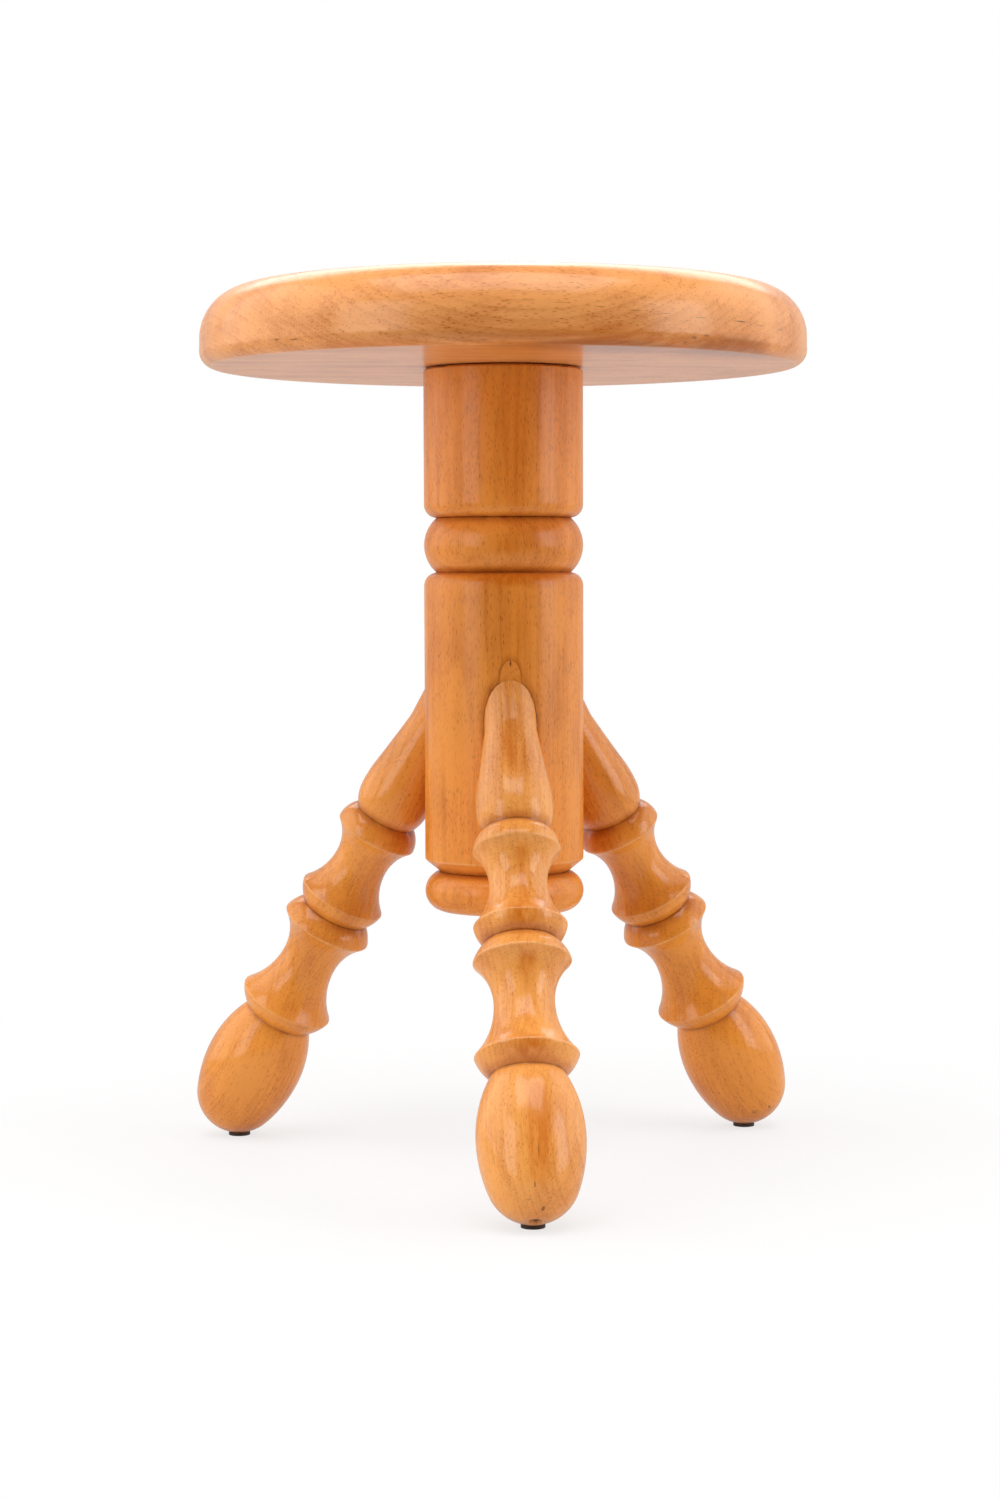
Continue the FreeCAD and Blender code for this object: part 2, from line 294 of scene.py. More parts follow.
def turned(name, outline, steps, material=None, wobble=0.0, wobble_size=40.0, seed=0.0):
    """A piece turned from an outline of (radius, height) points in millimetres, upright on Z."""
    places = [(radius * MM, 0, height * MM) for radius, height in outline]
    profile = bpy.data.meshes.new(name)
    profile.from_pydata(places, [(i, i + 1) for i in range(len(places) - 1)], [])
    piece = put_in_scene(name, profile)
    spin = piece.modifiers.new("lathe", "NODES")
    spin.node_group = lathe
    inputs = {"Steps Round": steps, "Wobble": wobble * MM, "Wobble Size": wobble_size * MM, "Seed": seed,
              "Material": material}
    for socket in lathe.interface.items_tree:
        if socket.name in inputs:
            spin[socket.identifier] = inputs[socket.name]
    plain_mesh(piece)
    mend_normals(piece.data)
    return piece


def lathe_points(mesh, to_blank):
    """Each vertex of a mesh as a (radius, height) point of its lathe outline, in millimetres."""
    co = np.empty(len(mesh.vertices) * 3)
    mesh.vertices.foreach_get("co", co)
    turn = np.array(to_blank)
    local = (co.reshape(-1, 3) @ turn[:3, :3].T + turn[:3, 3]) / MM
    return np.stack([np.hypot(local[:, 0], local[:, 1]), local[:, 2]], 1)


# The finish sees an edge or a groove up to this far away.
nearness = 6.0


def note_distance(mesh, name, distance):
    """Keep a distance in millimetres on every vertex, for the wood's finish to read."""
    attribute = mesh.attributes.new(name, "FLOAT", "POINT")
    attribute.data.foreach_set("value", np.minimum(distance, nearness).astype(np.float32))


def beech_group():
    """Steamed beech under clear lacquer, in millimetres on a blank whose grain runs along Z."""
    tree, given = new_group("beech", "ShaderNodeTree", {
        "Vector": "Vector", "Heart": "Vector", "Pale": "Color", "Deep": "Color", "Edge": "Float",
        "Groove": "Float", "Grime and Shade": "Float", "Stains and Shade": "Float", "Marks": "Float",
    }, {"Color": "Color", "Roughness": "Float", "Height": "Float"})
    year_width, year_drift, year_drift_size = 3.4, 1.6, 7.0
    rays_round, ray_depth, ray_length = 140.0, 1.2, 3.4
    stain_and_shade_colour = (0.62, 0.155, 0.008, 1)
    worn_and_glint_colour = (0.88, 0.50, 0.22, 1)
    grime_and_shade_colour = (0.40, 0.083, 0.005, 1)
    dirt_and_shade_colour = (0.20, 0.045, 0.008, 1)
    mark_colour = (0.13, 0.036, 0.009, 1)

    def grain(size, detail):
        """Noise whose patches have a size in millimetres across, across and along the grain."""
        scaled = vector_figure(tree, "DIVIDE", given["Vector"], size)
        return add(tree, "ShaderNodeTexNoise", {"Vector": scaled, "Scale": 1.0, "Detail": detail}).outputs

    bend = vector_figure(tree, "SUBTRACT", grain((60, 60, 170), 1.0)["Color"], (0.5, 0.5, 0.5))
    bent = vector_figure(tree, "MULTIPLY_ADD", bend, (9.0, 9.0, 9.0), given["Vector"])
    from_heart = vector_figure(tree, "SUBTRACT", bent, given["Heart"])
    parts = add(tree, "ShaderNodeSeparateXYZ", {0: from_heart}).outputs
    radius = vector_figure(tree, "LENGTH", vector_figure(tree, "MULTIPLY", from_heart, (1.0, 1.0, 0.0)))
    # Year rings of uneven width: each darkens slowly outwards and ends at once.
    drift_place = figure(tree, "DIVIDE", radius, year_drift_size)
    year_wave = add(tree, "ShaderNodeTexNoise", {"W": drift_place, "Scale": 1.0},
                    noise_dimensions="1D").outputs[0]
    even_years = figure(tree, "DIVIDE", radius, year_width)
    years = figure(tree, "MULTIPLY_ADD", year_wave, year_drift, even_years)
    season = figure(tree, "FRACT", years)
    late = figure(tree, "MINIMUM", figure(tree, "POWER", season, 3.0),
                  figure(tree, "MULTIPLY", figure(tree, "SUBTRACT", 1.0, season), 9.0))
    # Rays run from the heart outwards, so they show as short dark flecks where the surface faces it.
    around = figure(tree, "MULTIPLY", figure(tree, "ARCTAN2", parts[1], parts[0]), rays_round)
    ray_place = add(tree, "ShaderNodeCombineXYZ", {
        0: around, 1: figure(tree, "DIVIDE", radius, ray_depth),
        2: figure(tree, "DIVIDE", parts[2], ray_length)}).outputs[0]
    rays = add(tree, "ShaderNodeTexVoronoi", {
        "Vector": ray_place, "Scale": 1.0, "Randomness": 1.0}).outputs
    chance = add(tree, "ShaderNodeSeparateColor", {0: rays["Color"]}).outputs[0]
    fleck = figure(tree, "MULTIPLY", fading(tree, rays["Distance"], 0.12, 0.48),
                   figure(tree, "MULTIPLY_ADD", chance, 0.8, 0.2))
    # Tone, from pale at 0 to deep at 1: year rings, fibre, streaks, broad clouds and rays.
    fibre = grain((0.35, 0.35, 6.0), 2.0)["Fac"]
    streak = grain((2.6, 2.6, 50.0), 2.0)["Fac"]
    cloud = grain((20, 20, 48), 2.5)["Fac"]
    tone = figure(tree, "MULTIPLY_ADD", late, 0.24, 0.06)
    for noise, amount in ((fibre, 0.65), (streak, 0.45), (cloud, 1.3)):
        tone = swayed(tree, tone, noise, amount)
    tone = figure(tree, "MULTIPLY_ADD", fleck, 0.55, tone)
    # Use and painted light: stains and painted shade, pale worn edges with a painted glint, grime and
    # painted shade near the grooves, dirt and painted shade in them, and marks on top.
    rub = grain((7, 7, 7), 3.0)["Fac"]
    # Stains, and darker patches of painted shade, broken up by streaks.
    stained_and_shaded = figure(tree, "MULTIPLY", given["Stains and Shade"], figure(tree, "MULTIPLY_ADD", streak, 1.8, -0.1))
    # Pale worn edges, partly a painted glint along the sharp edges.
    worn_and_glint = figure(tree, "MULTIPLY", fading(tree, given["Edge"], 0.2, 1.0),
                  figure(tree, "MULTIPLY_ADD", rub, 1.2, -0.1))
    # Grime near the grooves, partly painted shade beside them and under the beads.
    grime_and_shade = fading(tree, given["Groove"], 0.8, nearness, given["Grime and Shade"])
    # Dirt in the grooves and crevices, partly painted shade.
    dirt_and_shade = figure(tree, "MULTIPLY", fading(tree, given["Groove"], 0.1, 1.2),
                  figure(tree, "MULTIPLY_ADD", rub, 1.0, 0.1))
    wood = blend_colours(tree, tone, given["Pale"], given["Deep"])
    for share, colour in (
        (stained_and_shaded, stain_and_shade_colour),
        (figure(tree, "MULTIPLY", worn_and_glint, 0.6), worn_and_glint_colour),
        (figure(tree, "MULTIPLY", grime_and_shade, rub), grime_and_shade_colour),
        (figure(tree, "MULTIPLY", dirt_and_shade, 0.8), dirt_and_shade_colour),
        (given["Marks"], mark_colour),
    ):
        wood = blend_colours(tree, share, wood, colour)
    roughness = figure(tree, "MULTIPLY_ADD", rub, 0.16, 0.36)
    height = figure(tree, "MULTIPLY_ADD", fibre, 0.35, figure(tree, "MULTIPLY", fleck, -0.15))
    height = figure(tree, "SUBTRACT", height, figure(tree, "MULTIPLY", given["Marks"], 0.3))
    add(tree, "NodeGroupOutput", {"Color": wood, "Roughness": roughness, "Height": height})
    return tree


beech = beech_group()


def mark_group():
    """Add one small mark of given size and turn to the marks so far, with a ragged soft border."""
    tree, given = new_group("mark", "ShaderNodeTree", {
        "Vector": "Vector", "Place": "Vector", "Half Size": "Vector", "Turn": "Float",
        "Core": "Float", "Strength": "Float", "So Far": "Float"}, {"Marks": "Float"})
    gap = vector_figure(tree, "SUBTRACT", given["Vector"], given["Place"])
    faced = add(tree, "ShaderNodeVectorRotate", {"Vector": gap, "Angle": given["Turn"]},
                rotation_type="Z_AXIS").outputs[0]
    measured = vector_figure(tree, "DIVIDE", faced, given["Half Size"])
    noise_place = vector_figure(tree, "MULTIPLY_ADD", measured, (1.6, 1.6, 1.6), given["Place"])
    ragged = add(tree, "ShaderNodeTexNoise", {
        "Vector": noise_place, "Scale": 1.0, "Detail": 2.0}).outputs[0]
    swing = figure(tree, "ADD", given["Core"], 0.35)
    border = swayed(tree, vector_figure(tree, "LENGTH", measured), ragged, swing)
    seen = fading(tree, border, given["Core"], 1.0)
    total = figure(tree, "MAXIMUM", given["So Far"], figure(tree, "MULTIPLY", seen, given["Strength"]))
    add(tree, "NodeGroupOutput", {"Marks": total})
    return tree


mark = mark_group()


# Half a mark's least depth, and the share of a mark's and of a stain's or painted shade's size that has
# no soft border.
mark_depth = 3.0
mark_core = 0.45
stain_and_shade_core = 0.05


def round_mark(turn, radius, height, width, tall, strength):
    """A mark on a turned surface: where it is round the axis, how wide and tall it is, and how dark."""
    angle = math.radians(turn)
    place = (radius * math.sin(angle), -radius * math.cos(angle), height)
    return place, (width / 2, max(mark_depth, width / 2), tall / 2), -angle, strength


def wood_finish(name, blank_place, heart, pale, deep, gloss, grime_and_shade, marks=(), stains_and_shade=(),
                marks_place=None):
    """Lacquered beech for one piece, whose grain follows the Z axis of the blank's own place."""
    lacquer, lacquer_roughness = gloss
    material, tree = blank_material(name)
    coordinates = add(tree, "ShaderNodeTexCoord").outputs["Object"]

    def measured_from(place):
        """Object coordinates turned into a blank's own millimetres."""
        back = place.inverted()
        return add(tree, "ShaderNodeMapping", {
            "Vector": coordinates, "Location": back.to_translation() / MM, "Rotation": back.to_euler(),
            "Scale": (1 / MM, 1 / MM, 1 / MM)}).outputs[0]

    on_blank = measured_from(blank_place)
    inputs = {"Vector": on_blank, "Heart": heart, "Pale": (*pale, 1), "Deep": (*deep, 1), "Grime and Shade": grime_and_shade,
              "Marks": 0.0, "Stains and Shade": 0.0}
    marked_from = measured_from(marks_place) if marks_place else on_blank
    for socket, core, spots in (("Marks", mark_core, marks), ("Stains and Shade", stain_and_shade_core, stains_and_shade)):
        for place, half_size, turn, strength in spots:
            spot = add(tree, "ShaderNodeGroup", node_tree=mark)
            fill(tree, spot, {"Vector": marked_from, "Place": place, "Half Size": half_size, "Turn": turn,
                              "Core": core, "Strength": strength, "So Far": inputs[socket]})
            inputs[socket] = spot.outputs[0]
    for socket, attribute in (("Edge", "edge_distance"), ("Groove", "groove_distance")):
        inputs[socket] = nearness
        if grime_and_shade:
            inputs[socket] = add(tree, "ShaderNodeAttribute", attribute_name=attribute).outputs["Fac"]
    wood = add(tree, "ShaderNodeGroup", node_tree=beech)
    fill(tree, wood, inputs)
    bump = add(tree, "ShaderNodeBump", {
        "Strength": 0.35, "Distance": 0.12 * MM, "Height": wood.outputs["Height"]})
    shader = add(tree, "ShaderNodeBsdfPrincipled", {
        "Base Color": wood.outputs["Color"], "Roughness": wood.outputs["Roughness"],
        "Normal": bump.outputs[0], "IOR": 1.5, "Specular IOR Level": 0.1, "Coat Weight": lacquer,
        "Coat Roughness": lacquer_roughness, "Coat IOR": 1.45})
    add(tree, "ShaderNodeOutputMaterial", {"Surface": shader.outputs[0]})
    return material


def leg_place(turn):
    """Where a leg's blank stands: its foot's lower end at the origin, its axis along Z."""
    reach = leg_axis_length * math.sin(leg_lean) * MM
    height = (leg_meeting_height - leg_axis_length * math.cos(leg_lean)) * MM
    upright = Matrix.Translation(axis_place) @ Matrix.Rotation(math.radians(turn), 4, "Z")
    return upright @ Matrix.Translation((0, -reach, height)) @ Matrix.Rotation(-leg_lean, 4, "X")


def hand_in(piece, node):
    """Let a finished piece ride on the stool and stand for its node, which is hidden."""
    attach(piece, "root")
    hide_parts(node)


# The middle of a quarter round lies at this share of its size.
bend = math.sin(math.radians(45))
foot_groove = column_bottom + foot_bead_height
lower_groove = waist_bead_middle - waist_bead_height / 2
upper_groove = waist_bead_middle + waist_bead_height / 2
waist_groove_radius = column_radius - waist_groove_depth
waist_bend_radius = waist_groove_radius + waist_groove_depth * bend
waist_bend_height = waist_shoulder_height * (1 - bend)
column_top = seat_underside - seat_joint_gap
column_rim = (column_radius - column_bottom_inset, column_bottom)
foot_crown = (column_radius, (column_bottom + foot_groove) / 2)
foot_notch = (column_radius - foot_groove_depth, foot_groove)
chamfer = (column_radius, foot_groove + foot_chamfer_height)
lower_shoulder = (column_radius, lower_groove - waist_shoulder_height)
lower_notch = (waist_groove_radius, lower_groove)
upper_notch = (waist_groove_radius, upper_groove)
upper_shoulder = (column_radius, upper_groove + waist_shoulder_height)
column_edges = [chamfer]
column_grooves = [foot_notch, lower_notch, upper_notch]
column_outline = lathe_outline([
    straight((0, column_bottom), column_rim),
    rounded(column_rim, foot_crown, foot_notch),
    straight(foot_notch, chamfer),
    straight(chamfer, lower_shoulder),
    rounded(lower_shoulder, (waist_bend_radius, lower_groove - waist_bend_height), lower_notch),
    rounded(lower_notch, (column_radius, waist_bead_middle), upper_notch),
    rounded(upper_notch, (waist_bend_radius, upper_groove + waist_bend_height), upper_shoulder),
    straight(upper_shoulder, (column_radius, column_top)),
    straight((column_radius, column_top), (spigot_radius, column_top)),
    straight((spigot_radius, column_top), (spigot_radius, spigot_top)),
    straight((spigot_radius, spigot_top), (0, spigot_top)),
], column_edges, column_grooves)

# Small knocks on the shoulder above the waist and on the barrel, and darker places along the joint with
# the seat.
joint_line = column_top - 0.3
column_marks = [
    round_mark(-19.1, column_radius, 338.3, 1.5, 0.6, 0.7),
    round_mark(0.8, column_radius, 336.8, 1.0, 0.6, 0.6),
    round_mark(17.7, column_radius, 337.8, 1.2, 0.5, 0.5),
    round_mark(-58.3, column_radius, 262.9, 1.5, 2.5, 0.6),
    round_mark(-83.0, column_radius, joint_line, 6.0, 1.4, 0.5),
    round_mark(-56.0, column_radius, joint_line, 15.0, 1.6, 0.6),
    round_mark(29.0, column_radius, joint_line, 5.0, 1.6, 0.5),
    round_mark(46.5, column_radius, joint_line, 8.0, 1.6, 0.6),
]
# Darker patches: stains on the waist bead, and painted shade on the shoulder below it and down the
# middle of the barrels.
column_stains_and_shade = [
    round_mark(-2.0, column_radius, 318.0, 30.0, 18.0, 0.6),
    round_mark(24.0, column_radius, 324.0, 34.0, 16.0, 0.6),
    round_mark(-30.0, column_radius, 312.0, 26.0, 10.0, 0.5),
    round_mark(4.0, column_radius, 302.0, 80.0, 14.0, 1.0),
    round_mark(-6.0, column_radius, 305.0, 110.0, 8.0, 0.8),
    round_mark(2.0, column_radius, 372.0, 22.0, 120.0, 0.6),
    round_mark(4.0, column_radius, 268.0, 20.0, 120.0, 0.5),
]
column_place = Matrix.Translation(axis_place)
column_wood = wood_finish(
    "column_beech", column_place, heart=(58.0, 66.0, 0.0), pale=(0.83, 0.290, 0.042),
    deep=(0.42, 0.082, 0.002), gloss=(0.55, 0.24), grime_and_shade=1.0, marks=column_marks, stains_and_shade=column_stains_and_shade)
column = turned("turned_column", column_outline, 176, column_wood, wobble=0.14, wobble_size=45.0,
                seed=3.0)
column.data.transform(column_place)
filler = put_in_scene("mortise_filler_piece", column.data.copy())

# The mortise's cutter starts below the widest place of its mouth, and a little wider than it.
bore_radius = tenon_radius + fit_clearance
cutter_run_in = 12
cutter_flare = 2
mouth_start = bulb_widest - cutter_run_in
mortise_outline = [
    (0, mouth_start), (mouth_radius + cutter_flare, mouth_start), (mouth_radius, bulb_widest),
    (bore_radius, taper_end), (bore_radius, tenon_end), (0, tenon_end)]
cutters = []
for side, turn in leg_turns.items():
    cutter = turned("mortise_" + side, mortise_outline, 96)
    cutter.data.transform(leg_place(turn))
    cutters.append(cutter)

# The filler's round pin lies along the front leg's axis, a little above the mortise.
filler_radius = 5.4
filler_rise = 4.9
filler_depth = 8.0
filler_gap = 0.1
seam_half_length = 14
pin_offset = bore_radius + filler_rise - filler_radius
pin_top_offset = bore_radius + filler_rise
pin_below_meeting = (column_radius - pin_top_offset * math.cos(leg_lean)) / math.sin(leg_lean)
pin_end = leg_axis_length + filler_depth - pin_below_meeting
pin_place = leg_place(0) @ Matrix.Translation((0, -pin_offset * MM, 0))


def filler_pin(radius):
    """The round pin that the filler is sawn from, in its place."""
    pin = turned("pin", [(0, bulb_widest), (radius, bulb_widest), (radius, pin_end), (0, pin_end)], 64)
    pin.data.transform(pin_place)
    return pin


def cut_with(piece, operation, cutter):
    """Keep the part of a piece inside a cutter, or the part outside it."""
    cut = piece.modifiers.new("cut", "BOOLEAN")
    cut.operation = operation
    cut.solver = "EXACT"
    cut.object = cutter


bare_pin, loose_pin = filler_pin(filler_radius), filler_pin(filler_radius + filler_gap)
cut_with(filler, "INTERSECT", bare_pin)
cut_with(filler, "DIFFERENCE", cutters[0])
plain_mesh(filler)
for cutter in cutters + [loose_pin]:
    cut_with(column, "DIFFERENCE", cutter)
plain_mesh(column)
for cutter in cutters + [bare_pin, loose_pin]:
    bpy.data.objects.remove(cutter)
column.data.set_sharp_from_angle(angle=sharp_angle)

# Dirt and painted shade stay narrower round the mortises' mouths and the filler's seam than in the turned
# grooves, so the distances from them are noted as larger than they are.
mouth_narrowing = 2
seam_narrowing = 2.5
column_points = lathe_points(column.data, column_place.inverted())
note_distance(column.data, "edge_distance", nearest(column_points, column_edges))
groove_gap = nearest(column_points, column_grooves)
for turn in leg_turns.values():
    by_leg = lathe_points(column.data, leg_place(turn).inverted())
    taper = np.interp(by_leg[:, 1], [bulb_widest, taper_end], [mouth_radius, bore_radius])
    mouth_gap = np.abs(by_leg[:, 0] - taper) * mouth_narrowing
    on_this_side = (by_leg[:, 1] > mouth_start) & (by_leg[:, 1] < tenon_end)
    groove_gap = np.where(on_this_side, np.minimum(groove_gap, mouth_gap), groove_gap)
by_pin = lathe_points(column.data, pin_place.inverted())
pin_gap = np.abs(by_pin[:, 0] - filler_radius) * seam_narrowing
beside_pin = np.abs(by_pin[:, 1] - pin_end + seam_half_length) < seam_half_length
groove_gap = np.where(beside_pin, np.minimum(groove_gap, pin_gap), groove_gap)
note_distance(column.data, "groove_distance", groove_gap)
hand_in(column, "column")


# Filler: a small piece of the same beech, let in above the front mortise and sawn off level with the
# barrel. Its grain runs along the leg's axis, so it shows as a patch of its own, with a thin crack.
crack = [
    round_mark(0.0, column_radius, 262.5, 0.8, 10.5, 0.9),
    round_mark(0.0, column_radius, 259.5, 1.1, 4.0, 0.9),
]
filler_wood = wood_finish(
    "filler_beech", leg_place(0), heart=(20.0, 35.0, 0.0), pale=(0.80, 0.272, 0.042),
    deep=(0.42, 0.082, 0.002), gloss=(0.55, 0.24), grime_and_shade=0.0, marks=crack, marks_place=column_place)
filler.data.materials.clear()
filler.data.materials.append(filler_wood)
filler.data.set_sharp_from_angle(angle=sharp_angle)
hand_in(filler, "mortise_filler")


# Legs: three alike, each turned from one beech blank. From the floor up: an egg-shaped foot, an ankle
# bead, a hollow, two beads with a groove between them, a shorter hollow, a thigh bead, a bulb and a
# taper that ends in the tenon. Each has its own stick's grain.
foot_belly_height = 41.3
foot_radius = 26.15
foot_neck_above_belly = 30.9
foot_neck_radius = 18.1
centre_hole_radius = 3.5
centre_hole_depth = 6.0
ankle_flank_height = 4.7
ankle_flank_radius = 22.6
ankle_bead_width = 10.1
ankle_edge_radius = 25.4
lower_hollow_length = 48.5
lower_waist_above_ankle = 27.2
lower_hollow_radius = 14.8
calf_edge_radius = 24.2
calf_flank_height = 5.1
calf_flank_radius = 21.8
calf_bead_width = 9.6
middle_groove_radius = 18.0
knee_flank_height = 4.4
knee_flank_radius = 21.3
knee_bead_width = 9.6
knee_edge_radius = 23.1
upper_hollow_length = 40.0
upper_waist_above_knee = 22.1
upper_hollow_radius = 14.3
thigh_edge_radius = 21.8
thigh_flank_height = 5.9
thigh_flank_radius = 20.3
thigh_bead_width = 10.8
bulb_groove_radius = 16.2
bulb_crown = 11.4
bulb_radius = 19.3
bulb_length = 27.8
bulb_end_radius = 17.55
taper_middle_radius = 15.3


def bent_away(crest, end):
    """A round cut that runs along the leg at its crest, or its waist, and bends away to its end."""
    drawn, along = end[0] - crest[0], end[1] - crest[1]
    round_size = (drawn ** 2 + along ** 2) / (2 * drawn)
    half_angle = math.asin(along / round_size) / 2
    middle = (crest[0] + round_size * (1 - math.cos(half_angle)),
              crest[1] + round_size * math.sin(half_angle))
    return rounded(crest, middle, end)


def on_foot_end(angle):
    """The point of the foot's round end at an angle below the horizontal from its centre."""
    return foot_end_round * math.cos(angle), foot_end_round * (1 - math.sin(angle))


neck = foot_belly_height + foot_neck_above_belly
ankle_edge = neck + ankle_bead_width
calf_edge = ankle_edge + lower_hollow_length
middle_groove = calf_edge + calf_bead_width
knee_edge = middle_groove + knee_bead_width
thigh_edge = knee_edge + upper_hollow_length
bulb_groove = thigh_edge + thigh_bead_width
bulb_top = bulb_groove + bulb_length
lower_waist = (lower_hollow_radius, ankle_edge + lower_waist_above_ankle)
upper_waist = (upper_hollow_radius, knee_edge + upper_waist_above_knee)
bulb_crest = (bulb_radius, bulb_groove + bulb_crown)
end_to_belly = foot_belly_height - foot_end_round
lower_round = ((foot_radius ** 2 + end_to_belly ** 2 - foot_end_round ** 2)
               / (2 * (foot_radius - foot_end_round)))
hole_angle = math.acos(centre_hole_radius / foot_end_round)
join_angle = math.asin(end_to_belly / (lower_round - foot_end_round))
hole_rim, foot_join = on_foot_end(hole_angle), on_foot_end(join_angle)
belly = (foot_radius, foot_belly_height)
at_neck = (foot_neck_radius, neck)
at_ankle = (ankle_edge_radius, ankle_edge)
at_calf = (calf_edge_radius, calf_edge)
at_middle = (middle_groove_radius, middle_groove)
at_knee = (knee_edge_radius, knee_edge)
at_thigh = (thigh_edge_radius, thigh_edge)
at_bulb_groove = (bulb_groove_radius, bulb_groove)
at_bulb_top = (bulb_end_radius, bulb_top)
at_taper_end = (tenon_radius, taper_end)
leg_edges = [at_ankle, at_calf, at_knee, at_thigh]
leg_grooves = [at_neck, at_middle, at_bulb_groove]
leg_outline = lathe_outline([
    straight((0, centre_hole_depth), hole_rim),
    rounded(hole_rim, on_foot_end((hole_angle + join_angle) / 2), foot_join),
    bent_away(belly, foot_join)[::-1],
    bent_away(belly, at_neck),
    rounded(at_neck, (ankle_flank_radius, neck + ankle_flank_height), at_ankle),
    bent_away(lower_waist, at_ankle)[::-1],
    bent_away(lower_waist, at_calf),
    rounded(at_calf, (calf_flank_radius, calf_edge + calf_flank_height), at_middle),
    rounded(at_middle, (knee_flank_radius, middle_groove + knee_flank_height), at_knee),
    bent_away(upper_waist, at_knee)[::-1],
    bent_away(upper_waist, at_thigh),
    rounded(at_thigh, (thigh_flank_radius, thigh_edge + thigh_flank_height), at_bulb_groove),
    bent_away(bulb_crest, at_bulb_groove)[::-1],
    bent_away(bulb_crest, at_bulb_top),
    rounded(at_bulb_top, (taper_middle_radius, (bulb_top + taper_end) / 2), at_taper_end),
    straight(at_taper_end, (tenon_radius, tenon_end)),
    straight((tenon_radius, tenon_end), (0, tenon_end)),
], leg_edges, leg_grooves)

# Each stick: where its heart lay beside the blank, its pale and deep tones, its marks and, on the front
# leg, painted shade down the middle of its front. The lathe centre's hole under every foot is painted
# dark. In the groove at the neck the dirt and painted shade stay narrower on the foot's side.
hole_half_size = (centre_hole_radius, centre_hole_radius, 4.0)
# The centre hole's inside is painted dark.
centre_hole = ((0.0, 0.0, centre_hole_depth / 2), hole_half_size, 0.0, 1.0)
neck_narrowing = 3
sticks = {
    "front": ((-78.0, 12.0, 0.0), (0.87, 0.360, 0.078), (0.46, 0.092, 0.002), [
        round_mark(2.3, 25.0, 27.0, 0.8, 9.0, 0.55),
        round_mark(-3.4, 20.5, 11.9, 0.8, 3.2, 0.85),
        round_mark(14.6, 11.5, 3.3, 2.0, 2.6, 0.75),
        round_mark(-14.2, 16.0, 6.3, 3.2, 0.9, 0.35),
        round_mark(22.6, 17.0, 7.1, 2.2, 0.9, 0.35),
        round_mark(41.4, 22.0, 142.5, 2.6, 2.2, 0.75),
    ], [
        # Painted shade down the middle of the leg's front.
        round_mark(-8.0, 15.0, 232.0, 9.0, 120.0, 0.9),
        round_mark(4.0, 16.0, 176.0, 9.0, 90.0, 0.8),
        round_mark(-2.0, 22.0, 147.0, 26.0, 30.0, 0.9),
        round_mark(2.0, 19.0, 118.0, 14.0, 76.0, 0.9),
        round_mark(-1.0, 22.0, 78.0, 36.0, 20.0, 0.9),
        round_mark(2.0, 25.0, 34.0, 18.0, 124.0, 0.8),
    ]),
    "right": ((70.0, 48.0, 0.0), (0.81, 0.290, 0.036), (0.43, 0.083, 0.002), [
        round_mark(-101.9, 21.0, 12.7, 1.6, 2.4, 0.8),
        round_mark(-124.8, 21.5, 14.6, 6.0, 3.6, 0.3),
    ], []),
    "left": ((-45.0, 64.0, 0.0), (0.83, 0.310, 0.048), (0.43, 0.083, 0.002), [], []),
}
for seed, (side, turn) in enumerate(leg_turns.items(), 5):
    heart, pale, deep, marks, stains_and_shade = sticks[side]
    place = leg_place(turn)
    wood = wood_finish("leg_beech_" + side, place, heart, pale, deep, gloss=(0.8, 0.17), grime_and_shade=0.8,
                       marks=[centre_hole] + marks, stains_and_shade=stains_and_shade)
    leg = turned("turned_leg_" + side, leg_outline, 136, wood, wobble=0.16, wobble_size=30.0,
                 seed=float(seed))
    leg.data.transform(place)
    for vertex in leg.data.vertices:
        vertex.co.z = max(vertex.co.z, glide_thickness * MM)
    leg_points = lathe_points(leg.data, place.inverted())
    note_distance(leg.data, "edge_distance", nearest(leg_points, leg_edges))
    groove_gap = nearest(leg_points, leg_grooves)
    groove_gap = np.where(leg_points[:, 1] < neck, groove_gap * neck_narrowing, groove_gap)
    note_distance(leg.data, "groove_distance", groove_gap)
    hand_in(leg, "leg_" + side)


# Glides: three small discs of dark brown plastic, each nailed to the flat under a foot. The nails are
# plain steel, with their heads sunk into the discs.
def plain_finish(name, colour, roughness, metallic, grain_size, swing):
    """A plain finish whose colour and roughness vary a little over patches of a size in millimetres."""
    material, tree = blank_material(name)
    coordinates = add(tree, "ShaderNodeTexCoord").outputs["Object"]
    patch = add(tree, "ShaderNodeTexNoise", {
        "Vector": coordinates, "Scale": 1 / (grain_size * MM), "Detail": 4.0}).outputs["Fac"]
    tint = add(tree, "ShaderNodeMapRange", {
        "Value": patch, "To Min": 1 - swing, "To Max": 1 + swing}).outputs[0]
    shade = add(tree, "ShaderNodeVectorMath", {0: colour, "Scale": tint}, operation="SCALE").outputs[0]
    bump = add(tree, "ShaderNodeBump", {"Strength": 0.3, "Distance": 0.1 * MM, "Height": patch})
    rough = figure(tree, "MULTIPLY_ADD", patch, 0.2, roughness - 0.1)
    shader = add(tree, "ShaderNodeBsdfPrincipled", {"Base Color": shade, "Roughness": rough,
                                                    "Normal": bump.outputs[0], "Metallic": metallic})
    add(tree, "ShaderNodeOutputMaterial", {"Surface": shader.outputs[0]})
    return material


glide_plastic = plain_finish("glide_plastic", (0.035, 0.012, 0.004), roughness=0.55, metallic=0.0,
                             grain_size=0.8, swing=0.5)
nail_steel = plain_finish("nail_steel", (0.45, 0.44, 0.42), roughness=0.4, metallic=1.0,
                          grain_size=0.5, swing=0.15)
for side in leg_turns:
    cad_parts["glide_" + side].material_slots[0].material = glide_plastic
    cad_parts["glide_nail_" + side].material_slots[0].material = nail_steel


